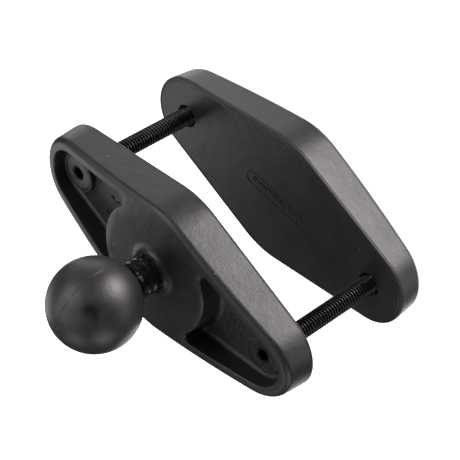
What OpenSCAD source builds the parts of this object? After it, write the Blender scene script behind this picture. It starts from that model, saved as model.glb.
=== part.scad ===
// Post clamp with a ball mount.
// Two diamond-shaped cast plates are drawn together round a post by two long screws, and the front
// plate carries a rubber-covered ball for a socket arm.
// Frame: +Z is the screw and ball axis, +X runs along the plates from one screw to the other.
// The back plate lies on z = 0 with its outer face down, so the ball is on top.

/* [Plates] */
// Overall length of a plate
plate_length = 146; // [140:1:170]
// Overall width of a plate across its middle
plate_width = 65; // [62:1:72]
// Thickness of a plate at its middle
plate_thickness = 18; // [17:0.5:22]
// Radius of the plate's two ends
end_radius = 18.5; // [17.5:0.5:20]
// Radius of the blunt corners at the middle of the two long sides
middle_radius = 36; // [34:1:44]
// Radius of the crown that makes a plate thinner towards its ends
crown_radius = 520; // [450:10:900]
// How much the sides lean in from the inner face to the outer face
draft_inset = 0.75; // [0.3:0.05:1]
// Rounding of the outer edge
outer_edge = 2.5; // [1.5:0.1:3]
// Rounding of the inner edge
inner_edge = 0.8; // [0.4:0.1:1.2]

/* [Pockets] */
// Width of the rim round the pockets, measured from the largest outline
rim_width = 6; // [5:0.25:7]
// Diameter of the round land between the two pockets
boss_diameter = 57; // [56:0.5:58]
// Thickness of metal under the pockets
pocket_floor = 7.5; // [7:0.25:8]
// Height of the screw pads above the pocket floor
pad_height = 2.8; // [2.5:0.1:3]
// Radius of the screw pads
pad_radius = 8.4; // [8.2:0.1:9]
// Rounding of the pocket corners in plan
pocket_corner = 2; // [1:0.25:2.5]

/* [Clamp screws] */
// Distance between the two screws
screw_spacing = 111; // [110:0.5:112]
// Major diameter of the screw thread (5/16 inch)
screw_diameter = 7.94; // [7.9:0.01:8]
// Thread pitch (18 threads to the inch)
screw_pitch = 1.411; // [1.25:0.001:1.5]
// Overall length of a clamp screw (3 inch)
screw_length = 76.2; // [74:0.1:77]
// Diameter of the countersunk head
head_diameter = 15.2; // [14.8:0.1:15.4]
// Hexagon socket, across flats (3/16 inch)
hex_socket = 4.76; // [4:0.01:5]
// Lock nut, across flats (1/2 inch)
nut_flats = 12.7; // [12.5:0.1:13]
// Lock nut, overall height
nut_height = 8.7; // [8:0.1:8.8]

/* [Ball] */
// Diameter of the ball over its rubber (1.5 inch)
ball_diameter = 38.1; // [36:0.1:40]
// Height of the ball's centre above the boss
ball_height = 29.5; // [28:0.5:34]
// Thickness of the rubber on the ball
rubber_thickness = 1.6; // [1.2:0.1:2.5]
// Diameter of the neck
neck_diameter = 15.6; // [15:0.1:17]
// Diameter of the hub at its foot
hub_diameter = 25; // [24:0.5:28]
// Height of the hub
hub_height = 2.6; // [2:0.1:3]

/* [Opening] */
// Gap between the plates, at rest
gap = 50; // [46:0.5:50]

/* [Hidden] */
$fn = 72;
eps = 0.01;

// Levels along Z
front_inner_z = plate_thickness + gap;
front_face_z = front_inner_z + plate_thickness;
ball_z = front_face_z + ball_height;

// Colours
plate_grey = [0.21, 0.21, 0.22];
screw_black = [0.12, 0.12, 0.12];
steel_grey = [0.62, 0.62, 0.63];
nylon_white = [0.88, 0.88, 0.85];
rubber_grey = [0.16, 0.16, 0.165];
neck_black = [0.07, 0.07, 0.075];

// Plan outline: two end arcs and two middle arcs joined by their common tangents.
// tangent_angle is the direction in which the four straight sides face.
half_length = plate_length / 2;
half_width = plate_width / 2;
end_x = half_length - end_radius;
middle_y = half_width - middle_radius;
tangent_angle = atan2(-middle_y, end_x)
    + acos((middle_radius - end_radius) / norm([end_x, middle_y]));
end_steps = 16;
middle_steps = 6;
side_steps = 4;

// Steps along the outer and inner edge roundings
outer_steps = 4;
inner_steps = 2;

// Screws and their countersinks
screw_x = screw_spacing / 2;
screw_radius = screw_diameter / 2;
screw_clearance = 0.4;
clearance_radius = screw_radius + screw_clearance;
running_gap = 0.05;
pad_level = pocket_floor + pad_height;
head_recess = 0.15;
head_level = pad_level - head_recess;
head_land = 0.6;
head_angle = 41;
head_radius = head_diameter / 2;
thread_depth = 0.6 * screw_pitch;
thread_runout = 1;
socket_depth = 3.2;
hole_chamfer = 1;

// Lock nuts
nut_seat = 5.3;
nut_gap = 0.1;
nut_hex_height = 6.4;
nut_collar_radius = 5.7;
nut_corner_chamfer = 0.3;
nylon_radius = 5.1;
nylon_height = 1.7;
nylon_cover = 0.5;

// Ball, neck and its bolt
ball_radius = ball_diameter / 2;
core_radius = ball_radius - rubber_thickness;
neck_radius = neck_diameter / 2;
neck_groove = 0.9;
neck_foot = 1;
rib_width = 1.6;
rib_slope = 0.5;
hub_margin = 0.4;
washer_thickness = 1;
washer_radius = 8.6;
washer_teeth = 16;
washer_notch = [0.8, 1];
bolt_radius = 4.76;
bolt_clearance = 0.3;
bolt_head_radius = 9;
bolt_head_gap = 0.1;
bolt_fit = 0.02;
bolt_hex = 5.56;
bolt_socket_depth = 3.5;
neck_z = front_face_z + hub_height + washer_thickness;

// Blank frame on the back plate's inner face
frame_length = 34;
frame_width = 7;
frame_line = 0.7;
frame_depth = 0.3;

// Height of the crowned outer face above the inner face, at a place along X
function crown_height(x) = plate_thickness
    - crown_radius + sqrt(crown_radius * crown_radius - x * x);

// One arc of the outline, as points
function arc(centre, radius, from, to, steps) = [
    for (i = [0 : steps])
        let (a = from + (to - from) * i / steps)
            centre + radius * [cos(a), sin(a)]
];

// Points strictly between two points
function between(p, q, steps) = [for (i = [1 : steps - 1]) p + (q - p) * i / steps];

// The plan outline moved inwards by inset, as a closed list that mirrors itself in X and in Y
function plate_outline(inset) =
    let (
        right = arc([end_x, 0], end_radius - inset, -tangent_angle, tangent_angle, end_steps),
        top = arc([0, middle_y], middle_radius - inset, tangent_angle, 180 - tangent_angle, middle_steps),
        left = [for (p = right) -p],
        bottom = [for (p = top) -p]
    )
    concat(
        right, between(right[end_steps], top[0], side_steps),
        top, between(top[middle_steps], left[0], side_steps),
        left, between(left[end_steps], bottom[0], side_steps),
        bottom, between(bottom[middle_steps], right[0], side_steps)
    );

// One ring of the plate: the outline at an inset, at a fixed height or at a depth below the crown
function low_ring(inset, height) = [for (p = plate_outline(inset)) [p[0], p[1], height]];
function crown_ring(inset, depth) = [
    for (p = plate_outline(inset)) [p[0], p[1], crown_height(p[0]) - depth]
];

// A solid plate with its inner face on z = 0 and its crowned outer face up
module plate_blank() {
    rings = concat(
        [for (i = [0 : inner_steps])
            let (a = 90 * i / inner_steps)
                low_ring(inner_edge * (1 - sin(a)), inner_edge * (1 - cos(a)))],
        [for (i = [0 : outer_steps])
            let (a = 90 * i / outer_steps)
                crown_ring(draft_inset + outer_edge * (1 - cos(a)), outer_edge * (1 - sin(a)))]
    );
    n = len(rings[0]);
    last = len(rings) - 1;
    first = end_steps / 2;
    sides = [for (r = [0 : last - 1], k = [0 : n - 1])
        let (m = (k + 1) % n)
            [r * n + k, (r + 1) * n + k, (r + 1) * n + m, r * n + m]];
    // Each end face is a row of strips between a point and its mirror image across X
    low = [for (k = [0 : n / 2 - 1])
        let (a = (first + k) % n, b = (first + k + 1) % n,
             c = (first - k - 1 + n) % n, d = (first - k + n) % n)
            k == 0 ? [a, b, c] : k == n / 2 - 1 ? [a, b, d] : [a, b, c, d]];
    high = [for (f = low) [for (i = [len(f) - 1 : -1 : 0]) f[i] + last * n]];
    polyhedron(points = [for (ring = rings) each ring], faces = concat(sides, low, high),
               convexity = 4);
}

// Plan of the two pockets, with rounded corners
module pocket_plan() {
    offset(r = pocket_corner) offset(delta = -pocket_corner)
        difference() {
            polygon(plate_outline(rim_width));
            circle(d = boss_diameter);
        }
}

// What the pockets take out of a plate, leaving the two screw pads
module pocket_cut() {
    difference() {
        translate([0, 0, pocket_floor]) linear_extrude(plate_thickness) pocket_plan();
        for (side = [-1, 1])
            translate([side * screw_x, 0, 0]) cylinder(r = pad_radius, h = pad_level);
    }
}

// A plate with its pockets, and with its round land cut flat at the crown's highest level
module plate_casting() {
    difference() {
        union() {
            plate_blank();
            intersection() {
                cylinder(d = boss_diameter, h = plate_thickness);
                linear_extrude(plate_thickness) polygon(plate_outline(draft_inset + outer_edge));
            }
        }
        pocket_cut();
    }
}

// The hub: a low collar with a hollow-curved flank, round a level top
module hub() {
    foot = hub_diameter / 2;
    top = washer_radius + hub_margin;
    rotate_extrude()
        difference() {
            translate([0, -1]) square([foot, hub_height + 1]);
            translate([foot, hub_height]) scale([(foot - top) / hub_height, 1]) circle(r = hub_height);
        }
}

// A conical countersink whose mouth is at z = 0, opening upwards
module countersink(mouth_radius, hole_radius) {
    depth = (mouth_radius - hole_radius) / tan(head_angle);
    translate([0, 0, -depth]) cylinder(r1 = hole_radius, r2 = mouth_radius, h = depth + eps);
    cylinder(r = mouth_radius, h = head_recess + eps);
}

module front_plate() {
    color(plate_grey)
        translate([0, 0, front_inner_z])
            difference() {
                union() {
                    plate_casting();
                    translate([0, 0, plate_thickness]) hub();
                }
                for (side = [-1, 1])
                    translate([side * screw_x, 0, 0]) {
                        translate([0, 0, -1]) cylinder(r = clearance_radius, h = plate_thickness);
                        translate([0, 0, head_level - head_land])
                            countersink(head_radius + running_gap, clearance_radius);
                        translate([0, 0, head_level - head_land])
                            cylinder(r = head_radius + running_gap, h = plate_thickness);
                    }
                translate([0, 0, -1])
                    cylinder(r = bolt_radius + bolt_clearance, h = 2 * plate_thickness);
                rotate([180, 0, 0]) translate([0, 0, -head_recess])
                    countersink(bolt_head_radius, bolt_radius + bolt_clearance);
            }
}

// A ring the shape of a running track, cut into a face
module frame_groove() {
    module track(width) {
        hull()
            for (side = [-1, 1])
                translate([side * (frame_length - frame_width) / 2, 0]) circle(d = width, $fn = 32);
    }
    linear_extrude(2 * frame_depth, center = true)
        difference() {
            track(frame_width);
            track(frame_width - 2 * frame_line);
        }
}

module back_plate() {
    color(plate_grey)
        translate([0, 0, plate_thickness]) rotate([180, 0, 0])
            difference() {
                plate_casting();
                for (side = [-1, 1])
                    translate([side * screw_x, 0, 0]) {
                        translate([0, 0, -1]) cylinder(r = clearance_radius, h = plate_thickness);
                        translate([0, 0, -eps])
                            cylinder(r1 = clearance_radius + hole_chamfer,
                                     r2 = clearance_radius, h = hole_chamfer);
                        translate([0, 0, nut_seat])
                            cylinder(d = (nut_flats + 2 * nut_gap) / cos(30), h = plate_thickness, $fn = 6);
                    }
                frame_groove();
            }
}

// A countersunk hexagon-socket screw with its thread as rings at the true pitch, head up, top at z = 0
module clamp_screw() {
    cone = (head_radius - screw_radius) / tan(head_angle);
    neck = head_land + cone;
    thread_top = neck + thread_runout;
    crest = screw_pitch / 8;
    root = screw_radius - thread_depth;
    flank = (screw_pitch - crest) / 2;
    first = -(screw_length - 0.5 * screw_pitch);
    turns = floor((screw_length - thread_top - screw_pitch) / screw_pitch);
    profile = concat(
        [[0, -screw_length], [root, -screw_length]],
        [for (i = [0 : turns - 1])
            let (z = first + i * screw_pitch)
                each [[screw_radius, z + flank - crest / 2], [screw_radius, z + flank + crest / 2],
                      [root, z + screw_pitch - eps]]],
        [[screw_radius, -thread_top], [screw_radius, -neck],
         [head_radius, -head_land], [head_radius, 0], [0, 0]]
    );
    difference() {
        rotate_extrude() polygon(profile);
        translate([0, 0, -socket_depth]) cylinder(d = hex_socket / cos(30), h = socket_depth + 1, $fn = 6);
    }
}

module clamp_screw_at(side) {
    color(screw_black)
        translate([side * screw_x, 0, front_inner_z + head_level]) clamp_screw();
}

module clamp_screw_left() { clamp_screw_at(-1); }

module clamp_screw_right() { clamp_screw_at(1); }

// A lock nut with its bearing face at z = 0 and its collar up, bored for the nylon ring
module lock_nut() {
    collar = nut_height - nylon_height - nylon_cover;
    chamfer = nut_flats / 2 + nut_corner_chamfer;
    difference() {
        union() {
            intersection() {
                cylinder(d = nut_flats / cos(30), h = nut_hex_height, $fn = 6);
                cylinder(r1 = chamfer, r2 = chamfer + nut_hex_height, h = nut_hex_height + eps);
            }
            cylinder(r = nut_collar_radius, h = nut_height);
        }
        translate([0, 0, -1]) cylinder(r = screw_radius + running_gap, h = nut_height + 2);
        translate([0, 0, collar]) cylinder(r = nylon_radius, h = nylon_height);
    }
}

// Places its children at one nut, with +Z away from the inner face
module at_nut(side) {
    translate([side * screw_x, 0, plate_thickness - nut_seat]) rotate([180, 0, 0]) children();
}

module lock_nut_left() { color(steel_grey) at_nut(-1) lock_nut(); }

module lock_nut_right() { color(steel_grey) at_nut(1) lock_nut(); }

module nylon_ring() {
    translate([0, 0, nut_height - nylon_height - nylon_cover])
        difference() {
            cylinder(r = nylon_radius, h = nylon_height);
            translate([0, 0, -1]) cylinder(r = screw_radius + running_gap / 2, h = nylon_height + 2);
        }
}

module nylon_ring_left() { color(nylon_white) at_nut(-1) nylon_ring(); }

module nylon_ring_right() { color(nylon_white) at_nut(1) nylon_ring(); }

// The ball's metal core with its ribbed neck, bored and tapped for the bolt
module ball_core() {
    length = ball_z - neck_z;
    waist = neck_radius - neck_groove;
    profile = concat(
        [[0, 0], [neck_radius, 0]],
        [for (i = [0 : 2])
            let (z = neck_foot + i * 2 * rib_width)
                each [[neck_radius, z], [waist, z + rib_slope],
                      [waist, z + rib_width - rib_slope], [neck_radius, z + rib_width]]],
        [[neck_radius, length], [0, length]]
    );
    color(neck_black)
        difference() {
            union() {
                translate([0, 0, neck_z]) rotate_extrude() polygon(profile);
                translate([0, 0, ball_z]) sphere(r = core_radius);
            }
            translate([0, 0, front_face_z]) cylinder(r = bolt_radius, h = ball_height);
        }
}

module ball_cover() {
    color(rubber_grey)
        translate([0, 0, ball_z])
            difference() {
                sphere(r = ball_radius);
                sphere(r = core_radius);
                translate([0, 0, -ball_height]) cylinder(r = neck_radius, h = ball_height);
            }
}

// The bolt that holds the ball, head down in the front plate's inner face
module ball_bolt() {
    cone = (bolt_head_radius - bolt_radius) / tan(head_angle);
    color(screw_black)
        translate([0, 0, front_inner_z + head_recess])
            difference() {
                union() {
                    cylinder(r1 = bolt_head_radius - bolt_head_gap,
                             r2 = bolt_radius - bolt_head_gap, h = cone);
                    cylinder(r = bolt_radius - bolt_fit,
                             h = plate_thickness - head_recess + ball_height - 1);
                }
                translate([0, 0, -1]) cylinder(d = bolt_hex / cos(30), h = bolt_socket_depth + 1, $fn = 6);
            }
}

// Toothed lock washer between the hub and the neck
module lock_washer() {
    color(screw_black)
        translate([0, 0, front_face_z + hub_height])
            difference() {
                cylinder(r = washer_radius, h = washer_thickness);
                translate([0, 0, -1]) cylinder(r = bolt_radius + bolt_clearance, h = washer_thickness + 2);
                for (i = [0 : washer_teeth - 1])
                    rotate(360 * i / washer_teeth)
                        translate([washer_radius - washer_notch[0], -washer_notch[1] / 2, -1])
                            cube([2, washer_notch[1], washer_thickness + 2]);
            }
}

front_plate();
back_plate();
clamp_screw_left();
clamp_screw_right();
lock_nut_left();
lock_nut_right();
nylon_ring_left();
nylon_ring_right();
ball_core();
ball_cover();
ball_bolt();
lock_washer();
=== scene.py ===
# %% [markdown]
# # A post clamp with a ball mount
# Two diamond-shaped cast plates are drawn together by two long screws, and the front plate carries a
# rubber-covered ball. The solids come from CAD as a fixed frame. This lesson builds the skins that are
# seen: castings with drafted walls and soft edges, real helical threads, a ribbed neck and a moulded ball.

# %% Load the frame
import math

import bmesh
import bpy
import numpy as np
from mathutils import Matrix, Vector
from mathutils.geometry import delaunay_2d_cdt


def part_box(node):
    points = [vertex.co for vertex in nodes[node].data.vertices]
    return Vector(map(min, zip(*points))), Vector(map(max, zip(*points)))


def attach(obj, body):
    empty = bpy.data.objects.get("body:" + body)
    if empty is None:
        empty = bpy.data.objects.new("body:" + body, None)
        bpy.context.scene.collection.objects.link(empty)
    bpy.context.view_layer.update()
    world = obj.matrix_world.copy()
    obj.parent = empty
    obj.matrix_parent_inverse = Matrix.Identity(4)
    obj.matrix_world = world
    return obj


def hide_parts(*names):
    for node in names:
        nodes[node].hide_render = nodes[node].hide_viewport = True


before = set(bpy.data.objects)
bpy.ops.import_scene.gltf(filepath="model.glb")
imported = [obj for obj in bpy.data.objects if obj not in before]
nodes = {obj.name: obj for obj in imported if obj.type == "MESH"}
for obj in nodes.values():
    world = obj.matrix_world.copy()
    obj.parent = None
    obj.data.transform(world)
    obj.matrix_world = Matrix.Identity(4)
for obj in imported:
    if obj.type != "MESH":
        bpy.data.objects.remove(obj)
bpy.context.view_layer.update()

# %% [markdown]
# All lengths below are in metres. They repeat the sizes of the CAD part, and the ball cover's box is read
# back from the frame and its centre printed.

# %% Sizes that the pieces share
MM = 0.001
PLATE_THICKNESS = 18 * MM
FRONT_INNER_Z = 68 * MM
FRONT_FACE_Z = FRONT_INNER_Z + PLATE_THICKNESS
END_X, END_RADIUS = 54.5 * MM, 18.5 * MM
MIDDLE_Y, MIDDLE_RADIUS = -3.5 * MM, 36 * MM
CROWN_RADIUS = 520 * MM
DRAFT, OUTER_EDGE, INNER_EDGE = 0.75 * MM, 2.5 * MM, 0.8 * MM
RIM_WIDTH, BOSS_RADIUS = 6 * MM, 28.5 * MM
POCKET_FLOOR, PAD_LEVEL, PAD_RADIUS = 7.5 * MM, 10.3 * MM, 8.4 * MM
SCREW_X, SCREW_RADIUS, SCREW_PITCH, SCREW_LENGTH = 55.5 * MM, 3.97 * MM, 1.411 * MM, 76.2 * MM
HEAD_RADIUS, HEAD_LEVEL = 7.6 * MM, 10.15 * MM
BALL_RADIUS, BALL_Z = 19.05 * MM, 115.5 * MM
TURN = 2 * math.pi
TANGENT = (math.atan2(-MIDDLE_Y, END_X)
           + math.acos((MIDDLE_RADIUS - END_RADIUS) / math.hypot(END_X, MIDDLE_Y)))
ball_low, ball_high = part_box("ball_cover")
print("ball centre", (ball_low.z + ball_high.z) / 2, "tangent angle", math.degrees(TANGENT))

# %% [markdown]
# The camera stands where the buyer's eye would be: in front of the part, to the right of it and above,
# and rolled a long way over so that the plates lie aslant. Its three direction rows are right, down and
# forward, worked out from the known sizes of the part, so it is placed by a matrix and not by angles.

# %% Camera
LENS, SENSOR = 120.62, 36.0
CAMERA_PLACE = (0.238573, 0.468798, 0.386274)
camera_right = Vector((0.66892, 0.18557, -0.7198))
camera_down = Vector((0.64028, -0.63576, 0.43111))
camera_forward = Vector((-0.37761, -0.74925, -0.54409))
camera_data = bpy.data.cameras.new("camera")
camera_data.lens, camera_data.sensor_width = LENS, SENSOR
camera_data.clip_start, camera_data.clip_end = 0.05, 20
camera = bpy.data.objects.new("camera", camera_data)
bpy.context.scene.collection.objects.link(camera)
turn = Matrix((camera_right, -camera_down, -camera_forward)).transposed().to_4x4()
camera.matrix_world = Matrix.Translation(CAMERA_PLACE) @ turn
bpy.context.scene.camera = camera
print("camera at", tuple(round(x, 3) for x in camera.location))

# %% [markdown]
# Most pieces are stacks of closed loops. A loop is a ring of points; a strip of four-sided faces joins
# each loop to the next. `Skin` collects loops, strips and flat fills, then makes one mesh of them, joins
# the points that coincide and turns every face outwards.

# %% Skin: loops, strips and fills that become one mesh
CLOSEST = 0.8 * MM          # inner points of a fill keep this far from its loops


class Skin:
    """A mesh in the making: points and faces are collected as whole arrays."""

    def __init__(self):
        self.points, self.faces, self.count = [], [], 0

    def add(self, points):
        """Stores an (n, 3) array and returns the numbers of its points."""
        points = np.asarray(points, float)
        numbers = np.arange(self.count, self.count + len(points))
        self.points.append(points)
        self.count += len(points)
        return numbers

    def strip(self, rings, cap_first=False, cap_last=False):
        """Joins equal rings: face k of a strip is ring[k], ring[k+1], next[k+1], next[k]. A cap closes an
        end ring with triangles to its centre."""
        numbers = np.array([self.add(ring) for ring in rings])
        a, b = numbers[:-1], numbers[1:]
        quads = np.stack([a, np.roll(a, -1, 1), np.roll(b, -1, 1), b], -1).reshape(-1, 4)
        self.faces += quads.tolist()
        for wanted, ring, numbered in ((cap_first, rings[0], numbers[0]),
                                       (cap_last, rings[-1], numbers[-1])):
            if wanted:
                middle = self.add(np.mean(ring, 0, keepdims=True))
                fan = np.stack([numbered, np.roll(numbered, -1), np.full(len(numbered), middle[0])], -1)
                self.faces += fan.tolist()
        return self

    def fill(self, outer, holes, height, inner_points=()):
        """Fills the flat region between an outer loop and its holes with Delaunay triangles, and lifts every
        point to height, a number or a function of x and y. inner_points add resolution inside."""
        loops = [np.asarray(loop)[:, :2] for loop in [outer, *holes]]
        points, edges = [], []
        for loop in loops:
            start = len(points)
            points += loop.tolist()
            edges += [(start + k, start + (k + 1) % len(loop)) for k in range(len(loop))]
        extra = np.asarray(inner_points, float).reshape(-1, 2)
        if len(extra):
            gaps = [np.hypot(*(extra[:, None] - loop[None]).transpose(2, 0, 1)).min(1) for loop in loops]
            points += extra[between(extra, loops) & (np.min(gaps, 0) > CLOSEST)].tolist()
        made = delaunay_2d_cdt([Vector(p) for p in points], edges, [], 1, 1e-7)
        flat = np.array([tuple(p) for p in made[0]])
        faces = np.array(made[2])
        numbers = self.add(lift(flat, height))
        self.faces += numbers[faces[between(flat[faces].mean(1), loops)]].tolist()
        return self

    def mesh(self, name, place=lambda p: p, sharp=30, merge=2e-6):
        """Makes the object, with its place in its mesh: doubles merged, faces outwards, edges sharper than
        the given angle left crisp."""
        points = place(np.vstack(self.points))
        data = bpy.data.meshes.new(name)
        data.from_pydata(points.tolist(), [], self.faces)
        bm = bmesh.new()
        bm.from_mesh(data)
        bmesh.ops.remove_doubles(bm, verts=bm.verts, dist=merge)
        bmesh.ops.dissolve_degenerate(bm, edges=bm.edges, dist=1e-7)
        bmesh.ops.recalc_face_normals(bm, faces=bm.faces)
        open_edges = sum(1 for e in bm.edges if len(e.link_faces) != 2)
        bm.to_mesh(data)
        bm.free()
        data.polygons.foreach_set("use_smooth", np.ones(len(data.polygons), bool))
        data.set_sharp_from_angle(angle=math.radians(sharp))
        piece = bpy.data.objects.new(name, data)
        bpy.context.scene.collection.objects.link(piece)
        print(name, len(data.vertices), "points,", len(data.polygons), "faces,", open_edges, "open edges")
        return piece


def within(points, loop):
    """Even-odd test as one array: a point is inside if a line from it to +X crosses the loop an odd number
    of times."""
    x, y = points[:, :1], points[:, 1:]
    ax, ay = loop[:, 0][None], loop[:, 1][None]
    bx, by = np.roll(loop[:, 0], -1)[None], np.roll(loop[:, 1], -1)[None]
    crosses = (ay > y) != (by > y)
    at = ax + (y - ay) * (bx - ax) / np.where(by == ay, 1, by - ay)
    return np.count_nonzero(crosses & (x < at), 1) % 2 == 1


def between(points, loops):
    """True for the points inside the first loop and outside all the others."""
    good = within(points, loops[0])
    for hole in loops[1:]:
        good &= ~within(points, hole)
    return good


# %% [markdown]
# ## The plates
# Both plates are aluminium castings from one pattern. A casting has draft, so that it leaves the mould,
# and no edge is sharp. Their sides are the same outline repeated at different insets and heights, and
# their outer faces are slightly crowned, thickest at the middle.

# %% Outline, circle and pocket loops
def arc(centre, radius, start, stop, steps):
    """Points centre + radius (cos a, sin a), for a from start to stop."""
    a = np.linspace(start, stop, steps)
    return np.column_stack([centre[0] + radius * np.cos(a), centre[1] + radius * np.sin(a)])


def line(p, q, steps):
    """Points strictly between p and q."""
    t = np.linspace(0, 1, steps + 2)[1:-1, None]
    return np.asarray(p) + (np.asarray(q) - np.asarray(p)) * t


def outline(inset):
    """The plan of a plate moved inwards: two end arcs and two middle arcs, joined by their tangents."""
    right = arc((END_X, 0), END_RADIUS - inset, -TANGENT, TANGENT, 41)
    top = arc((0, MIDDLE_Y), MIDDLE_RADIUS - inset, TANGENT, math.pi - TANGENT, 21)
    half = np.vstack([right, line(right[-1], top[0], 20), top, line(top[-1], -right[0], 20)])
    return np.vstack([half, -half])


def circle(radius, x=0.0, steps=96):
    """A ring of equal steps round (x, 0)."""
    return arc((x, 0), radius, 0, TURN * (1 - 1 / steps), steps)


def pocket(shrink, corner=2.8 * MM):
    """The plan of the right-hand pocket, made smaller by shrink: an end arc, two straight sides, and the
    round land's edge, with arcs in the two corners where they meet."""
    facing = np.array([math.cos(TANGENT), math.sin(TANGENT)])
    along = np.array([math.sin(TANGENT), -math.cos(TANGENT)])
    reach = END_X * math.cos(TANGENT) + END_RADIUS - RIM_WIDTH - corner
    middle = facing * reach + along * math.sqrt((BOSS_RADIUS + corner) ** 2 - reach ** 2)
    lean = math.atan2(middle[1], middle[0])
    end = arc((END_X, 0), END_RADIUS - RIM_WIDTH - shrink, -TANGENT, TANGENT, 49)
    bend = arc(middle, corner - shrink, TANGENT, lean + math.pi, 15)
    land = arc((0, 0), BOSS_RADIUS + shrink, lean, -lean, 41)[1:-1]
    low = bend[::-1] * (1, -1)
    return np.vstack([end, line(end[-1], bend[0], 24), bend, land, low, line(low[-1], end[0], 24)])


def crown(x):
    """Height of the crowned face: a circle of large radius that touches the full thickness at x = 0."""
    return PLATE_THICKNESS - CROWN_RADIUS + np.sqrt(CROWN_RADIUS ** 2 - x * x)


def smooth(t):
    """0 below 0, 1 above 1, and 3t^2 - 2t^3 between."""
    t = np.clip(t, 0, 1)
    return t * t * (3 - 2 * t)


def top_height(x, y):
    """The crown, lifted to the full thickness over the round land and blended back over its last 2 mm."""
    land = smooth((BOSS_RADIUS + 1.2 * MM - np.hypot(x, y)) / (2 * MM))
    return crown(x) + (PLATE_THICKNESS - crown(x)) * land


def lift(loop, height):
    """A plan loop as points in space; height is a number or a function of x and y."""
    z = height(loop[:, 0], loop[:, 1]) if callable(height) else np.full(len(loop), height)
    return np.column_stack([loop, z])


def sunk(loop, drop):
    """A plan loop laid on the crowned face and let down by drop."""
    return lift(loop, lambda x, y: top_height(x, y) - drop)


def rounding(steps):
    """Angles of a quarter turn."""
    return np.linspace(0, math.pi / 2, steps)


print("pocket from", pocket(0).min(0), "to", pocket(0).max(0))

# %% [markdown]
# A casting is put together from the outside in: inner face, the fine double line that dressing the mould's
# parting edge leaves round it, side, rim and round land, then each pocket with its lip, its drafted wall,
# the fillet at its foot, its floor, and the pad that takes the screw's head or the nut. A Boolean of solid
# blocks could cut the same pockets, but its edges would stay sharp; loops carry every edge radius with
# them. The flat faces get inner points only where they are crowned, to keep the mesh light.

# %% The casting
LIP, WALL_DRAFT, FOOT_FILLET = 0.7 * MM, 0.35 * MM, 2.0 * MM
PAD_FOOT, PAD_EDGE = 0.6 * MM, 0.25 * MM
CLEARANCE = 4.37 * MM
DRESSED_EDGE = ((1.75, 0), (1.55, 0.2), (1.25, 0.24), (1.05, 0))      # inset and height in mm
PARTING_LEDGE = ((0.16, 1.0), (0.18, 1.2), (0, 1.45))                 # the same, up the side
FRAME_LENGTH, FRAME_WIDTH, FRAME_DEPTH = 34 * MM, 7 * MM, 0.3 * MM
FRAME_INSETS = (0, 0.3 * MM, 1.1 * MM, 1.4 * MM)
crown_grid = np.stack(np.meshgrid(np.arange(-72, 73, 4), np.arange(-32, 33, 4)), -1).reshape(-1, 2) * MM


def casting(hub, inner_holes, seat, framed):
    """One plate with its inner face on z = 0. hub is the radius left free in the round land; seat gives the
    loops down through a pad; framed sinks the blank frame into the inner face."""
    skin = Skin()
    side = [lift(outline(inset * MM), z * MM) for inset, z in DRESSED_EDGE]
    side += [lift(outline(INNER_EDGE * (1 - math.sin(a))), INNER_EDGE * (1 - math.cos(a)))
             for a in rounding(6)]
    side += [lift(outline(inset * MM), z * MM) for inset, z in PARTING_LEDGE]
    side += [sunk(outline(DRAFT + OUTER_EDGE * (1 - math.cos(a))), OUTER_EDGE * (1 - math.sin(a)))
             for a in rounding(9)]
    skin.strip(side)
    lips = []
    for half in (1, -1):
        x = SCREW_X * half
        lip = [sunk(pocket(-LIP * (1 - math.sin(a))) * half, LIP * (1 - math.cos(a))) for a in rounding(5)]
        wall = [lift(pocket(WALL_DRAFT + FOOT_FILLET * (1 - math.cos(a))) * half,
                     POCKET_FLOOR + FOOT_FILLET * (1 - math.sin(a))) for a in rounding(7)]
        pad = [lift(circle(PAD_RADIUS + PAD_FOOT * (1 - math.cos(a)), x),
                    POCKET_FLOOR + PAD_FOOT * (1 - math.sin(a))) for a in rounding(5)[::-1]]
        pad += [lift(circle(PAD_RADIUS - PAD_EDGE * (1 - math.cos(a)), x),
                     PAD_LEVEL - PAD_EDGE * (1 - math.sin(a))) for a in rounding(4)]
        lips.append(lip[0])
        skin.strip(lip + wall)
        skin.fill(wall[-1], [pad[0]], POCKET_FLOOR)
        skin.strip(pad + seat(x))
    middle = [circle(hub)] if hub else []
    skin.fill(side[-1], [*lips, *middle], top_height, crown_grid)
    holes = [circle(radius, x) for radius, x in inner_holes]
    if framed:
        walls = [track(FRAME_LENGTH - inset, FRAME_WIDTH - inset) for inset in FRAME_INSETS]
        skin.strip([lift(wall, z) for wall, z in zip(walls, (0, FRAME_DEPTH, FRAME_DEPTH, 0))])
        holes.append(walls[0])
        skin.fill(walls[3], [], 0)
    skin.fill(side[0], holes, 0)
    return skin


def track(length, width):
    """A running-track loop: two straight lines and two half circles."""
    half = arc(((length - width) / 2, 0), width / 2, -math.pi / 2, math.pi / 2, 17)
    return np.vstack([half, line(half[-1], -half[0], 15), -half, line(-half[-1], half[0], 15)])


# %% [markdown]
# The front plate has a countersink in each pad, and the hub that the ball's neck stands on: a low collar
# with a hollow flank. All of it is round, so each is a short list of radii and heights turned into rings.

# %% Front plate
BOLT_HOLE, BOLT_HEAD, BOLT_SINK = 5.06 * MM, 9 * MM, 0.15 * MM
HUB_FOOT, HUB_TOP, HUB_HEIGHT = 12.9 * MM, 9.0 * MM, 2.6 * MM
CONE = math.tan(math.radians(41))
HEAD_LAND, HEAD_FIT, BROKEN_EDGE = 0.6 * MM, 0.07 * MM, 0.15 * MM


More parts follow.
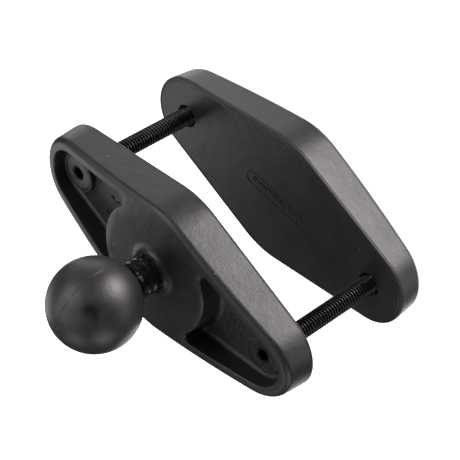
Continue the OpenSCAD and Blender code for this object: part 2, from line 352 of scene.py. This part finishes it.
def countersink(x):
    """Loops from the pad's top down the countersink and the hole to the inner face."""
    mouth = HEAD_RADIUS + HEAD_FIT
    land = HEAD_LEVEL - HEAD_LAND
    foot = land - (mouth - CLEARANCE) / CONE
    down = [(mouth + BROKEN_EDGE, PAD_LEVEL), (mouth, PAD_LEVEL - BROKEN_EDGE), (mouth, land),
            (CLEARANCE, foot), (CLEARANCE, 0)]
    return [lift(circle(radius, x), z) for radius, z in down]


def hub_loops():
    """Loops up the hub's hollow flank (a quarter ellipse), over its top, and down the bolt's hole to the
    countersink in the inner face."""
    top = PLATE_THICKNESS + HUB_HEIGHT
    cone = (BOLT_HEAD - BOLT_HOLE) / CONE
    flank = [(HUB_FOOT - (HUB_FOOT - HUB_TOP) * math.sin(a), PLATE_THICKNESS + HUB_HEIGHT * (1 - math.cos(a)))
             for a in rounding(12)]
    hole = [(HUB_TOP - BROKEN_EDGE, top), (BOLT_HOLE, top), (BOLT_HOLE, BOLT_SINK + cone),
            (BOLT_HEAD, BOLT_SINK), (BOLT_HEAD, 0)]
    return [lift(circle(radius), z) for radius, z in flank + hole]


front_holes = [(CLEARANCE, SCREW_X), (CLEARANCE, -SCREW_X), (BOLT_HEAD, 0)]
front_skin = casting(HUB_FOOT, front_holes, countersink, False)
front_skin.strip(hub_loops())
front_plate = front_skin.mesh("front_plate_casting", lambda p: p + (0, 0, FRONT_INNER_Z))
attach(front_plate, "front")
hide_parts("front_plate")

# %% [markdown]
# The back plate is the same casting turned over. A lock nut that spun with its screw would never tighten,
# so each pad has a six-sided seat for it. A hexagon sampled at as many angles as the circles joins to them
# in one strip.

# %% Back plate
NUT_FLATS, NUT_LEVEL, LEAD_WIDTH, LEAD_DEPTH = 12.9 * MM, 5.3 * MM, 0.4 * MM, 0.2 * MM
FLARE = 1 * MM


def hexagon(flats, x, steps=96):
    """A six-sided loop sampled at equal angles: radius = half the flats / cos(angle from the nearest
    flat)."""
    a = np.arange(steps) * TURN / steps
    radius = flats / 2 / np.cos((a + TURN / 12) % (TURN / 6) - TURN / 12)
    return np.column_stack([x + radius * np.cos(a), radius * np.sin(a)])


def nut_seat(x):
    """Loops from the pad's top into the six-sided seat, across its floor and down the flared hole."""
    return [lift(hexagon(NUT_FLATS + LEAD_WIDTH, x), PAD_LEVEL),
            lift(hexagon(NUT_FLATS, x), PAD_LEVEL - LEAD_DEPTH),
            lift(hexagon(NUT_FLATS, x), NUT_LEVEL), lift(circle(CLEARANCE, x), NUT_LEVEL),
            lift(circle(CLEARANCE, x), FLARE), lift(circle(CLEARANCE + FLARE, x), 0)]


back_holes = [(CLEARANCE + FLARE, SCREW_X), (CLEARANCE + FLARE, -SCREW_X)]
back_skin = casting(0, back_holes, nut_seat, True)
back_plate = back_skin.mesh("back_plate_casting", lambda p: p * (1, -1, -1) + (0, 0, PLATE_THICKNESS))
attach(back_plate, "back")
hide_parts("back_plate")

# %% [markdown]
# Foundries leave raised marks where they do no harm: a grid of dots or bars in a pocket that counts the
# patterns, and a scale in a sunk frame. Here they say nothing. Each mark is a low dome on a rounded
# rectangle, sunk a little into the casting it belongs to.

# %% Foundry marks
DOME = ((1, -0.3), (1, 0.35), (0.86, 0.85), (0.55, 1))      # share of the plan, share of the height
MARK_HEIGHT, BAR_HEIGHT, BAR_WIDTH = 0.42, 0.5, 0.75        # in mm


def dome(x, y, length, width, lean, height, around=16):
    """A raised bar: a superellipse |x/a|^3 + |y/b|^3 = 1, shrinking as it rises, turned by lean."""
    t = np.arange(around) * TURN / around
    ring = np.column_stack([np.cos(t), np.sin(t)])
    shape = np.sign(ring) * abs(ring) ** (2 / 3)
    turned = np.array([[math.cos(lean), math.sin(lean)], [-math.sin(lean), math.cos(lean)]])
    return [lift(shape * (length / 2, width / 2) * share @ turned + (x, y), height * rise)
            for share, rise in DOME]


def marks(name, rows, body, place):
    """One piece from many domes; rows are (x, y, length, width, lean in degrees, height) in mm."""
    skin = Skin()
    for x, y, length, width, lean, height in rows:
        bar = dome(x * MM, y * MM, length * MM, width * MM, math.radians(lean), height * MM)
        skin.strip(bar, cap_first=True, cap_last=True)
    piece = skin.mesh(name, place, sharp=50, merge=1e-6)
    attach(piece, body)
    return piece


block = [(x, y, 1.5, 0.8, 0, MARK_HEIGHT)
         for x in (34.8, 37.0, 39.2, 41.4) for y in (-7.4, -5.6, -3.8, -2.0, -0.2, 1.6)]
loose_bars = ((-35.0, 0.2, 2.4, 60), (-37.0, 1.4, 2.4, -25), (-33.4, 1.6, 1.2, 0),
              (-36.6, -5.6, 2.2, 40), (-38.4, -8.6, 2.2, -50))
block += [(x, y, length, BAR_WIDTH, lean, BAR_HEIGHT) for x, y, length, lean in loose_bars]
pocket_marks = marks("pocket_foundry_marks", block, "front",
                     lambda p: p + (0, 0, FRONT_INNER_Z + POCKET_FLOOR))
scale = [(x, 0.3 if k % 2 else 0.0, 0.62, 2.5 if k % 2 else 3.4, 12 if k % 3 else -8, MARK_HEIGHT)
         for k, x in enumerate(np.arange(-13.2, 14, 1.32))]
face_marks = marks("face_scale_marks", scale, "back", lambda p: p + (0, 0, PLATE_THICKNESS))
plates = [front_plate, back_plate, pocket_marks, face_marks]

# %% [markdown]
# ## The clamp screws
# The thread is a real helix. At angle a and height z its radius depends only on z - pitch a / turn, so
# the two ends of each turn meet and the surface closes. The flanks are at 60 degrees, with flat crests and
# roots, and the thread fades in at the point and out below the head.

# %% Clamp screws
THREAD_DEPTH = 0.6 * SCREW_PITCH
FLANK, ROOT_SHARE = 2.9, 0.22
SOCKET, SOCKET_DEPTH = 4.76 * MM, 3.2 * MM
POINT_CHAMFER, TOP_HOLLOW = 0.5 * MM, 0.02 * MM


def thread_rings(low, high, steps=72, rows_per_pitch=9):
    """Rings between two heights. With p the share of a pitch, the radius is the root plus the depth times a
    ramp up, a crest, a ramp down and a root."""
    a = np.arange(steps) * TURN / steps
    heights = np.arange(low, high, SCREW_PITCH / rows_per_pitch)
    p = (heights[:, None] / SCREW_PITCH - a / TURN) % 1
    ridge = np.clip(np.minimum(p, 1 - p) * FLANK - ROOT_SHARE, 0, 1)
    fade = smooth((heights - low) / (1.3 * SCREW_PITCH)) * smooth((high - heights) / SCREW_PITCH)
    radius = SCREW_RADIUS - THREAD_DEPTH * (1 - ridge * fade[:, None])
    return [np.column_stack([r * np.cos(a), r * np.sin(a), np.full(steps, z)])
            for r, z in zip(radius, heights)]


def screw(name, x, body, steps=72):
    """One screw, head up, its top at z = 0 of its own: point, thread, cone, land, slightly hollow top and
    socket."""
    neck = HEAD_LAND + (HEAD_RADIUS - SCREW_RADIUS) / CONE
    rings = [lift(circle(SCREW_RADIUS - THREAD_DEPTH - POINT_CHAMFER, 0, steps), -SCREW_LENGTH)]
    rings += thread_rings(-SCREW_LENGTH + POINT_CHAMFER, -neck - 1.0 * MM, steps)
    head = [(SCREW_RADIUS, -neck - 0.6 * MM), (SCREW_RADIUS, -neck), (HEAD_RADIUS, -HEAD_LAND),
            (HEAD_RADIUS, -0.25 * MM), (HEAD_RADIUS - 0.1 * MM, -0.08 * MM), (HEAD_RADIUS - 0.3 * MM, 0),
            (6.2 * MM, -TOP_HOLLOW), (4.6 * MM, -TOP_HOLLOW), (3.05 * MM, -TOP_HOLLOW)]
    rings += [lift(circle(radius, 0, steps), z) for radius, z in head]
    socket = [(SOCKET + 0.05 * MM, -0.3 * MM), (SOCKET, -0.4 * MM), (SOCKET, -SOCKET_DEPTH)]
    rings += [lift(hexagon(flats, 0, steps), z) for flats, z in socket]
    rings.append(lift(circle(0.6 * MM, 0, steps), -SOCKET_DEPTH - 0.9 * MM))
    skin = Skin().strip(rings, cap_first=True, cap_last=True)
    piece = skin.mesh(name, lambda p: p + (x, 0, FRONT_INNER_Z + HEAD_LEVEL), sharp=40)
    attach(piece, body)
    return piece


screws = [screw("clamp_screw_and_thread_left", -SCREW_X, "screw_left"),
          screw("clamp_screw_and_thread_right", SCREW_X, "screw_right")]
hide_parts("clamp_screw_left")
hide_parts("clamp_screw_right")

# %% [markdown]
# ## The ball
# The ball is a metal core with a skin of rubber moulded over it. The two halves of the mould leave a fine
# line right round it, drawn as a shallow groove, and use leaves a scuff and a nick. A primitive sphere is
# too coarse to hold a line a few tenths of a millimetre wide, so the columns crowd together there.

# %% Ball cover
PARTING_TURN = math.radians(93)
LINE_WIDTH, LINE_DEPTH = 0.010, 0.13 * MM                   # the width is a share of the ball's radius
COVER_RADIUS, NECK_ENTRY = BALL_RADIUS - 0.06 * MM, 7.95 * MM
scratch = [((0.72 + 0.09 * t, -0.078 + 0.12 * t, 0.69 - 0.10 * t), 0.011, 0.14 * MM)
           for t in np.linspace(0, 1, 9)]
nick = [((0.022 - 0.03 * t, 0.20 - 0.15 * t, 0.98), 0.012, 0.2 * MM) for t in np.linspace(0, 1, 8)]
nick += [((-0.03 + 0.07 * t, -0.06 + 0.12 * t, 0.998), 0.012, 0.16 * MM) for t in np.linspace(0, 1, 6)]
DENTS = scratch + nick + [((0.05, 0.30, 0.95), 0.03, 0.06 * MM), ((0.30, 0.955, 0.05), 0.05, 0.05 * MM)]


def crowded_turns(columns):
    """Angles round the ball, crowded where the parting line runs: s + 0.42 sin(2 (s - start)), whose slope is
    smallest at start + 90 degrees and its opposite."""
    s = np.arange(columns) * TURN / columns
    start = PARTING_TURN - math.pi / 2
    return s + 0.42 * np.sin(2 * (s - start))


def ball_surface(rows=250, columns=300):
    """A sphere of radius R with a moulded line along one great circle and a few dents. The line is a groove
    of section -depth exp(-(d/w)^2), d the distance from the parting plane, that fades in and out."""
    stop = math.pi - math.asin(NECK_ENTRY / BALL_RADIUS)
    polar, turn_angle = np.linspace(0, stop, rows)[1:, None], crowded_turns(columns)[None]
    unit = np.stack([np.sin(polar) * np.cos(turn_angle), np.sin(polar) * np.sin(turn_angle),
                     np.cos(polar) + 0 * turn_angle], -1)
    away = unit @ np.array([math.sin(PARTING_TURN), -math.cos(PARTING_TURN), 0])
    strength = 0.55 + 0.45 * np.sin(9 * polar + 0.6) * np.cos(4 * polar)
    radius = COVER_RADIUS - LINE_DEPTH * np.exp(-(away / LINE_WIDTH) ** 2) * strength
    for place, size, depth in DENTS:
        place = np.array(place) / np.linalg.norm(place)
        radius = radius - depth * np.exp(-(np.linalg.norm(unit - place, axis=-1) / size) ** 2)
    return unit * radius[..., None]


grid = ball_surface()
edge = grid[-1]
rolled = [edge * (1 - 0.02 * math.sin(a), 1 - 0.02 * math.sin(a), 1) + (0, 0, 0.35 * MM * (1 - math.cos(a)))
          for a in rounding(5)[1:]]
ball_skin = Skin().strip(list(grid) + rolled)
for ring, height in ((grid[0], COVER_RADIUS), (rolled[-1], rolled[-1][0, 2] + 3 * MM)):
    around, tip = ball_skin.add(ring), ball_skin.add([(0, 0, height)])
    ball_skin.faces += np.stack([around, np.roll(around, -1), np.full(len(around), tip[0])], -1).tolist()
ball_cover = ball_skin.mesh("ball_rubber_cover", lambda p: p + (0, 0, BALL_Z), sharp=60)
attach(ball_cover, "front")
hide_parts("ball_cover")

# %% [markdown]
# Below the rubber the neck shows: a short round post, gloss black, with three plain grooves round it. It
# is a profile turned about Z: a straight side less the three grooves, with a small undercut at its foot.

# %% Neck
NECK_BASE, NECK_HEIGHT = FRONT_FACE_Z + 3.6 * MM, 13 * MM
NECK_RADIUS, NECK_END, GROOVE_DEPTH, GROOVE_HALF = 7.8 * MM, 6 * MM, 0.9 * MM, 0.52 * MM
neck_heights = np.linspace(0, 13, 131) * MM
groove_middles = (1.8 + 3.2 * np.arange(3)) * MM
waves = np.clip(1.55 - np.abs(neck_heights[:, None] - groove_middles) / GROOVE_HALF, 0, 1).max(1)
neck_radii = NECK_RADIUS - GROOVE_DEPTH * waves - 0.25 * MM * np.exp(-neck_heights / (0.2 * MM))
neck_profile = [(NECK_END, 0), *zip(neck_radii, neck_heights), (NECK_END, NECK_HEIGHT)]
neck_skin = Skin().strip([lift(circle(r, 0, 128), z + NECK_BASE) for r, z in neck_profile], True, True)
neck = neck_skin.mesh("ribbed_neck", sharp=50)
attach(neck, "front")
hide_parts("ball_core")

# %% [markdown]
# ## Materials
# One small function adds a node with its settings and links, and one turns a hex colour into the linear
# numbers that the nodes want. Everything reads Object coordinates, which are metres here, so a pattern's
# scale is 1 / its real size.

# %% Helpers for materials
def linear(hex_colour):
    """sRGB hex to linear RGBA: below 0.04045 divide by 12.92, else ((c + 0.055) / 1.055) ^ 2.4."""
    c = np.array([int(hex_colour[i:i + 2], 16) for i in (1, 3, 5)]) / 255
    return (*np.where(c <= 0.04045, c / 12.92, ((c + 0.055) / 1.055) ** 2.4).tolist(), 1.0)


def node(tree, kind, settings=(), **inputs):
    """Adds a node. settings are its own properties; each input is a value, or an output to link to."""
    made = tree.nodes.new(kind)
    for key, value in dict(settings).items():
        setattr(made, key, value)
    for key, value in inputs.items():
        name = key.replace("_", " ")
        socket = made.inputs[int(name[2:]) if name.startswith("in") and name[2:].isdigit() else name]
        if isinstance(value, bpy.types.NodeSocket):
            tree.links.new(value, socket)
        else:
            socket.default_value = value
    return made


def material(name):
    """A new node material with its Principled shader and its Object coordinates."""
    made = bpy.data.materials.new(name)
    made.use_nodes = True
    tree = made.node_tree
    tree.nodes.clear()
    shader = node(tree, "ShaderNodeBsdfPrincipled")
    node(tree, "ShaderNodeOutputMaterial", Surface=shader.outputs["BSDF"])
    where = node(tree, "ShaderNodeTexCoord").outputs["Object"]
    return made, tree, shader, where


def per(size_mm):
    """Noise scale for a feature of this size, because Object coordinates are in metres."""
    return 1000.0 / size_mm


def wear(piece_material, *objects):
    """Gives the objects this one material."""
    for o in objects:
        o.data.materials.clear()
        o.data.materials.append(piece_material)


# %% [markdown]
# **Powder coat on cast aluminium.** Charcoal polyester powder, baked on: a satin skin with a very fine
# orange peel, drawn 0.8 mm from bump to bump, a little coarser than real so that it shows, with larger,
# fainter waves from the casting under it. A few pale grains of dust sit in the coat.

# %% Powder coat
coat, tree, shader, where = material("charcoal_powder_coat")
tone = node(tree, "ShaderNodeTexNoise", Vector=where, Scale=per(14), Detail=5.0, Roughness=0.65)
ramp = node(tree, "ShaderNodeValToRGB", Fac=tone.outputs["Fac"])
ramp.color_ramp.elements[0].position, ramp.color_ramp.elements[0].color = 0.3, linear("#1d1c1c")
ramp.color_ramp.elements[1].position, ramp.color_ramp.elements[1].color = 0.75, linear("#272626")
cells = node(tree, "ShaderNodeTexVoronoi", Vector=where, Scale=per(7))
near = node(tree, "ShaderNodeMapRange", Value=cells.outputs["Distance"], From_Min=0.055, From_Max=0.03)
rare = node(tree, "ShaderNodeSeparateColor", Color=cells.outputs["Color"])
some = node(tree, "ShaderNodeMath", {"operation": "GREATER_THAN"}, in0=rare.outputs[0], in1=0.55)
speck = node(tree, "ShaderNodeMath", {"operation": "MULTIPLY"}, in0=near.outputs["Result"],
             in1=some.outputs[0])
dusty = node(tree, "ShaderNodeMix", {"data_type": "RGBA"}, Factor=speck.outputs[0], in6=ramp.outputs["Color"],
             in7=linear("#6c6a68"))
tree.links.new(dusty.outputs[2], shader.inputs["Base Color"])
gloss = node(tree, "ShaderNodeMapRange", Value=tone.outputs["Fac"], From_Min=0.3, From_Max=0.7, To_Min=0.38,
             To_Max=0.47)
tree.links.new(gloss.outputs["Result"], shader.inputs["Roughness"])
peel = node(tree, "ShaderNodeTexNoise", Vector=where, Scale=per(0.8), Detail=3.0, Roughness=0.6)
waves_below = node(tree, "ShaderNodeTexNoise", Vector=where, Scale=per(6), Detail=3.0)
fine = node(tree, "ShaderNodeBump", Height=peel.outputs["Fac"], Strength=0.5, Distance=0.00016)
broad = node(tree, "ShaderNodeBump", Height=waves_below.outputs["Fac"], Strength=0.3, Distance=0.0006,
             Normal=fine.outputs["Normal"])
tree.links.new(broad.outputs["Normal"], shader.inputs["Normal"])
wear(coat, *plates)
print("powder coat on", [piece.name for piece in plates])

# %% [markdown]
# ** Black oxide on steel.** A thin dark conversion layer that keeps the metal's sheen and holds a film of oil,
# used on the screws, the bolt and the lock washer. The threads carry painted shade: the colour goes near
# black towards the roots, so the tone follows the distance from the screw's own axis.

# %% Black oxide steel
black_oxide, tree, shader, where = material("black_oxide_steel")
film = node(tree, "ShaderNodeTexNoise", Vector=where, Scale=per(2.5), Detail=5.0, Roughness=0.65)
ramp = node(tree, "ShaderNodeValToRGB", Fac=film.outputs["Fac"])
ramp.color_ramp.elements[0].position, ramp.color_ramp.elements[0].color = 0.35, linear("#2f2e2d")
ramp.color_ramp.elements[1].position, ramp.color_ramp.elements[1].color = 0.7, linear("#4b4947")
folded = node(tree, "ShaderNodeVectorMath", {"operation": "ABSOLUTE"}, in0=where)
beside = node(tree, "ShaderNodeVectorMath", {"operation": "SUBTRACT"}, in0=folded.outputs[0],
              in1=(SCREW_X, 0, 0))
level = node(tree, "ShaderNodeVectorMath", {"operation": "MULTIPLY"}, in0=beside.outputs[0], in1=(1, 1, 0))
radius = node(tree, "ShaderNodeVectorMath", {"operation": "LENGTH"}, in0=level.outputs[0])
# Painted shade: near black towards the thread's roots, the oxide's own colour on the crests.
crest = node(tree, "ShaderNodeMapRange", Value=radius.outputs["Value"],
             From_Min=SCREW_RADIUS - 0.75 * THREAD_DEPTH, From_Max=SCREW_RADIUS - 0.1 * THREAD_DEPTH)
painted_root_shade = node(tree, "ShaderNodeMix", {"data_type": "RGBA"}, Factor=crest.outputs["Result"],
            in6=linear("#0b0b0b"), in7=ramp.outputs["Color"])
tree.links.new(painted_root_shade.outputs[2], shader.inputs["Base Color"])
shader.inputs["Metallic"].default_value = 0.75
gloss = node(tree, "ShaderNodeMapRange", Value=film.outputs["Fac"], To_Min=0.30, To_Max=0.48)
tree.links.new(gloss.outputs["Result"], shader.inputs["Roughness"])
grit = node(tree, "ShaderNodeTexNoise", Vector=where, Scale=per(0.5), Detail=2.0)
bump = node(tree, "ShaderNodeBump", Height=grit.outputs["Fac"], Strength=0.4, Distance=0.00006)
tree.links.new(bump.outputs["Normal"], shader.inputs["Normal"])
wear(black_oxide, *screws, nodes["ball_bolt"], nodes["lock_washer"])

# %% [markdown]
# ** Moulded rubber.** Black nitrile skin: matte, a little dusty grey, with a fine grain. Dirt marks the parting line,
# wider in some places than in others, and stretched noise gives the faint strokes of handling. One small spot
# is rubbed smooth and mirrors whatever stands before it, and its colour there is painted near black: a
# painted reflection of the dim side in front of the ball.

# %% Moulded rubber
rubber, tree, shader, where = material("moulded_black_rubber")
bloom = node(tree, "ShaderNodeTexNoise", Vector=where, Scale=per(11), Detail=6.0, Roughness=0.65)
ramp = node(tree, "ShaderNodeValToRGB", Fac=bloom.outputs["Fac"])
ramp.color_ramp.elements[0].position, ramp.color_ramp.elements[0].color = 0.32, linear("#222121")
ramp.color_ramp.elements[1].position, ramp.color_ramp.elements[1].color = 0.72, linear("#2f2e2e")
centred = node(tree, "ShaderNodeVectorMath", {"operation": "SUBTRACT"}, in0=where, in1=(0, 0, BALL_Z))
across = node(tree, "ShaderNodeVectorMath", {"operation": "DOT_PRODUCT"}, in0=centred.outputs[0],
              in1=(math.sin(PARTING_TURN), -math.cos(PARTING_TURN), 0))
off_line = node(tree, "ShaderNodeMath", {"operation": "ABSOLUTE"}, in0=across.outputs["Value"])
along = node(tree, "ShaderNodeTexNoise", Vector=where, Scale=per(6), Detail=2.0)
reach = node(tree, "ShaderNodeMapRange", Value=along.outputs["Fac"], From_Min=0.42, From_Max=0.60,
             To_Min=0.06 * MM, To_Max=0.34 * MM)
dirt = node(tree, "ShaderNodeMath", {"operation": "LESS_THAN"}, in0=off_line.outputs[0],
            in1=reach.outputs["Result"])
lined = node(tree, "ShaderNodeMix", {"data_type": "RGBA"}, Factor=dirt.outputs[0], in6=ramp.outputs["Color"],
             in7=linear("#060606"))
# Painted reflection: one small spot on the ball is coloured near black, and is also made glossy, below.
reflection_spot_distance = node(tree, "ShaderNodeVectorMath", {"operation": "DISTANCE"}, in0=where,
               in1=(0.451 * BALL_RADIUS, 0.67 * BALL_RADIUS, BALL_Z + 0.59 * BALL_RADIUS))
smooth_and_painted_reflection_spot = node(tree, "ShaderNodeMapRange", {"interpolation_type": "SMOOTHSTEP"}, Value=reflection_spot_distance.outputs["Value"],
             From_Min=0.0052, From_Max=0.0006, To_Max=0.85)
painted_reflection_colour = node(tree, "ShaderNodeMix", {"data_type": "RGBA"}, Factor=smooth_and_painted_reflection_spot.outputs["Result"],
            in6=lined.outputs[2], in7=linear("#0c0c0c"))
tree.links.new(painted_reflection_colour.outputs[2], shader.inputs["Base Color"])
gloss = node(tree, "ShaderNodeMapRange", Value=bloom.outputs["Fac"], From_Min=0.3, From_Max=0.7, To_Min=0.38,
             To_Max=0.46)
rubbed = node(tree, "ShaderNodeMix", {"data_type": "FLOAT"}, Factor=smooth_and_painted_reflection_spot.outputs["Result"],
              in2=gloss.outputs["Result"], in3=0.14)
tree.links.new(rubbed.outputs[0], shader.inputs["Roughness"])
shader.inputs["IOR"].default_value = 1.52
grain = node(tree, "ShaderNodeTexNoise", Vector=where, Scale=per(0.6), Detail=2.0)
turned = node(tree, "ShaderNodeMapping", Vector=where, Rotation=(0.3, 0.5, 1.1), Scale=(1, 0.12, 1))
scuffs = node(tree, "ShaderNodeTexNoise", Vector=turned.outputs[0], Scale=per(1.6), Detail=5.0,
              Distortion=0.6)
fine = node(tree, "ShaderNodeBump", Height=grain.outputs["Fac"], Strength=0.35, Distance=0.00008)
broad = node(tree, "ShaderNodeBump", Height=scuffs.outputs["Fac"], Strength=0.35, Distance=0.00022,
             Normal=fine.outputs["Normal"])
tree.links.new(broad.outputs["Normal"], shader.inputs["Normal"])
wear(rubber, ball_cover)

# %% [markdown]
# **Gloss black neck.** The same powder without texture, thick and shiny where it has flowed into the
# grooves, so it throws sharp small highlights.

# %% Gloss black neck
gloss_black, tree, shader, where = material("gloss_black_neck_coat")
flow = node(tree, "ShaderNodeTexNoise", Vector=where, Scale=per(2.2), Detail=3.0)
ramp = node(tree, "ShaderNodeValToRGB", Fac=flow.outputs["Fac"])
ramp.color_ramp.elements[0].color, ramp.color_ramp.elements[1].color = linear("#1b1a1a"), linear("#2a2929")
tree.links.new(ramp.outputs["Color"], shader.inputs["Base Color"])
gloss = node(tree, "ShaderNodeMapRange", Value=flow.outputs["Fac"], To_Min=0.07, To_Max=0.20)
tree.links.new(gloss.outputs["Result"], shader.inputs["Roughness"])
bump = node(tree, "ShaderNodeBump", Height=flow.outputs["Fac"], Strength=0.5, Distance=0.0005)
tree.links.new(bump.outputs["Normal"], shader.inputs["Normal"])
wear(gloss_black, neck)

# %% [markdown]
# **Zinc plate and nylon.** The lock nuts are bright zinc over steel, slightly cloudy, and each holds a
# ring of natural nylon that grips the thread.

# %% Zinc and nylon
zinc, tree, shader, where = material("bright_zinc_plate")
cloud = node(tree, "ShaderNodeTexNoise", Vector=where, Scale=per(1.8), Detail=5.0, Roughness=0.7)
ramp = node(tree, "ShaderNodeValToRGB", Fac=cloud.outputs["Fac"])
ramp.color_ramp.elements[0].color, ramp.color_ramp.elements[1].color = linear("#9a9ba0"), linear("#c9cacd")
tree.links.new(ramp.outputs["Color"], shader.inputs["Base Color"])
shader.inputs["Metallic"].default_value = 1.0
gloss = node(tree, "ShaderNodeMapRange", Value=cloud.outputs["Fac"], To_Min=0.22, To_Max=0.42)
tree.links.new(gloss.outputs["Result"], shader.inputs["Roughness"])
wear(zinc, nodes["lock_nut_left"], nodes["lock_nut_right"])

nylon, tree, shader, where = material("natural_nylon")
milk = node(tree, "ShaderNodeTexNoise", Vector=where, Scale=per(3), Detail=3.0)
ramp = node(tree, "ShaderNodeValToRGB", Fac=milk.outputs["Fac"])
ramp.color_ramp.elements[0].color, ramp.color_ramp.elements[1].color = linear("#ddd9cc"), linear("#efece2")
tree.links.new(ramp.outputs["Color"], shader.inputs["Base Color"])
shader.inputs["Roughness"].default_value = 0.45
shader.inputs["Subsurface Weight"].default_value = 0.15
shader.inputs["Subsurface Scale"].default_value = 0.001
wear(nylon, nodes["nylon_ring_left"], nodes["nylon_ring_right"])

# %% [markdown]
# ## Floor and light
# Small black hardware is hard to light: it shows almost only what it mirrors. Catalogue studios lay it on a
# white glass table and light it from all round, from under the glass too. The floor here is that glass,
# which sweeps up all round into a wall: white to the eye, but it lets the lamps below it through.

# %% Floor
FLAT, BEND, SWEEP_TOP, FLOOR_Z = 2.5, 1.5, 5.0, -0.0004
profile = [(0.01, FLOOR_Z), (FLAT, FLOOR_Z)]
profile += [(FLAT + BEND * math.sin(a), BEND * (1 - math.cos(a))) for a in rounding(13)[1:]]
profile += [(FLAT + BEND, SWEEP_TOP)]
sweep = Skin().strip([lift(circle(r), z) for r, z in profile], cap_first=True)
floor = sweep.mesh("floor")
floor.visible_shadow = floor.visible_diffuse = floor.visible_glossy = False
table, tree, shader, where = material("white_glass_table")
shader.inputs["Base Color"].default_value = linear("#f2f2f2")
shader.inputs["Emission Color"].default_value = (1, 1, 1, 1)
shader.inputs["Emission Strength"].default_value = 1.0
wear(table, floor)

# %% [markdown]
# A point lamp would put a hard spark on every edge, so each lamp is a square softbox that faces the part.
# Each is one row of a table: where it stands, seen from the part, as azimuth and elevation in degrees, how
# far off and how large in metres, and how strong in watts.

# %% Lamps
LAMPS = [
    ("key_below", 60, -33, 0.9, 0.42, 3.9),
    ("key_below_left", 80, -33, 0.9, 0.42, 4.3),
    ("edge_below", 150, -33, 0.9, 0.42, 1.06),
    ("left_below", 187, -35, 0.9, 0.42, 1.35),
    ("end_below", 290, -33, 0.9, 0.42, 0.7),
    ("corner_below", 10, -33, 0.9, 0.55, 1.35),
    ("side_low", 75, -8, 0.9, 0.42, 1.15),
    ("back_low", 165, -8, 0.9, 0.50, 0.49),
    ("end_low", 330, 18, 0.9, 0.45, 1.6),
    ("crown", 135, 45, 0.9, 0.60, 3.75),
    ("face", 285, 45, 0.9, 0.42, 0.79),
    ("over", 200, 60, 0.9, 0.60, 1.56),
    ("top", 0, 89, 0.9, 0.50, 0.78),
    ("top_right", 30, 60, 0.9, 0.50, 0.27),
    ("near_face", 220, 20, 0.3, 0.14, 0.112),
    ("near_side", 80, -40, 0.3, 0.14, 0.40),
    ("far_side_left", 238, -38, 0.9, 0.60, 2.6),
    ("far_side_right", 268, -38, 0.9, 0.60, 1.8),
    ("under", 270, -75, 0.9, 0.80, 4.0),
]
WARM = (1.0, 0.955, 0.95)
AIM = Vector((0, 0, 0.07))


def softbox(name, azimuth, elevation, distance, size, power):
    """A square area light that faces the part: AIM + distance (cos e cos a, cos e sin a, sin e)."""
    a, e = math.radians(azimuth), math.radians(elevation)
    out_from_part = Vector((math.cos(e) * math.cos(a), math.cos(e) * math.sin(a), math.sin(e)))
    data = bpy.data.lights.new(name, "AREA")
    data.shape, data.size, data.energy, data.color = "SQUARE", size, power, WARM
    lamp = bpy.data.objects.new(name, data)
    lamp.location = AIM + out_from_part * distance
    lamp.rotation_euler = (-out_from_part).to_track_quat("-Z", "Y").to_euler()
    lamp.visible_camera = False
    bpy.context.scene.collection.objects.link(lamp)
    return lamp


lamps = [softbox(*row) for row in LAMPS]
print(len(lamps), "lamps,", round(sum(row[-1] for row in LAMPS), 1), "W in all")
world = bpy.data.worlds.new("studio")
bpy.context.scene.world = world
world.use_nodes = True
background = world.node_tree.nodes["Background"]
background.inputs["Color"].default_value = (1, 1, 1, 1)
background.inputs["Strength"].default_value = 0.05
bpy.context.scene.view_settings.view_transform = "Standard"
